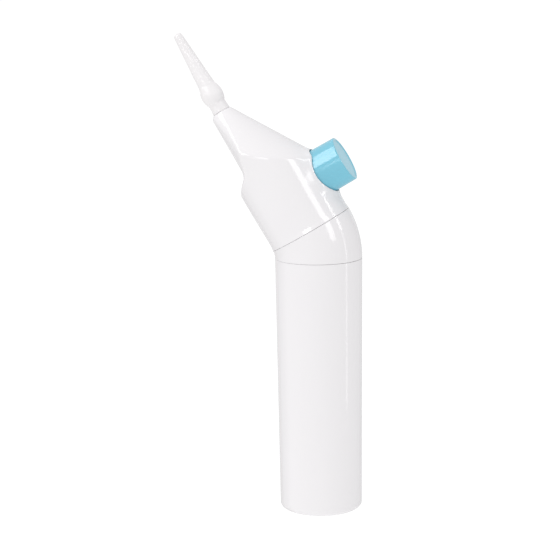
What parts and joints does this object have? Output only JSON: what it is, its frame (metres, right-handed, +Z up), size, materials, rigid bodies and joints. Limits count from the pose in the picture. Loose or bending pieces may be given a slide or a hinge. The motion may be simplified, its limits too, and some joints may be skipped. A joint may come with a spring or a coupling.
{
  "type": "ear wax cleaner",
  "caption": "Hand-pumped ear washer: round upright water tank, bent handpiece with a thumb pump button and a slim pull-off jet tip with a bulb.",
  "frame": {"origin": "centre of the tank's flat base, where it stands", "axes": "+Z up along the tank, +X towards the thumb button, the jet tip leans towards -X, and Y = 0 is the plane of symmetry"},
  "size_m": [0.0814, 0.038, 0.2093],
  "materials": {
    "white_shell": "glossy moulded white",
    "blue_button": "semi-gloss moulded sky blue",
    "frosted_tip": "frosted translucent",
    "inner_plastic": "natural moulded acetal",
    "seal_rubber": "matte",
    "silicone_hose": "milky silicone",
    "steel": "drawn stainless"
  },
  "bodies": {
    "tank": {"water_tank": "white_shell"},
    "handpiece": {"elbow_shell": "white_shell", "head_shell_left": "white_shell", "head_shell_right": "white_shell", "tank_bung": "inner_plastic", "tank_seal_ring": "seal_rubber", "air_valve": "seal_rubber", "dip_tube": "silicone_hose", "intake_filter": "inner_plastic", "suction_hose": "silicone_hose", "inlet_valve_housing": "inner_plastic", "pump_cylinder": "inner_plastic", "cylinder_cap": "inner_plastic", "return_spring": "steel", "outlet_valve_housing": "inner_plastic", "outlet_valve_spring": "steel", "discharge_hose": "silicone_hose", "nozzle_seat": "inner_plastic"},
    "button": {"pump_button": "blue_button", "pump_piston": "inner_plastic", "piston_seal": "seal_rubber"},
    "tip": {"jet_tip": "frosted_tip", "tip_seal_ring": "seal_rubber"},
    "inlet_ball": {"inlet_valve_ball": "steel"},
    "outlet_ball": {"outlet_valve_ball": "steel"}
  },
  "joints": [
    {"name": "handpiece_lift", "type": "slide", "parent": "tank", "child": "handpiece", "axis": [0, 0, 1], "range_m": [0, 0.12]},
    {"name": "button_press", "type": "slide", "parent": "handpiece", "child": "button", "axis": [-0.866, 0, -0.5], "range_m": [0, 0.008], "stiffness_N_per_m": 600, "springref_m": -0.004, "deforming": ["return_spring"]},
    {"name": "tip_pull", "type": "slide", "parent": "handpiece", "child": "tip", "axis": [-0.5, 0, 0.866], "range_m": [0, 0.02]},
    {"name": "inlet_ball_lift", "type": "slide", "parent": "handpiece", "child": "inlet_ball", "axis": [-0.5, 0, 0.866], "range_m": [0, 0.0009]},
    {"name": "outlet_ball_lift", "type": "slide", "parent": "handpiece", "child": "outlet_ball", "axis": [-0.5, 0, 0.866], "range_m": [0, 0.0009], "stiffness_N_per_m": 40, "springref_m": -0.0015, "deforming": ["outlet_valve_spring"]}
  ]
}
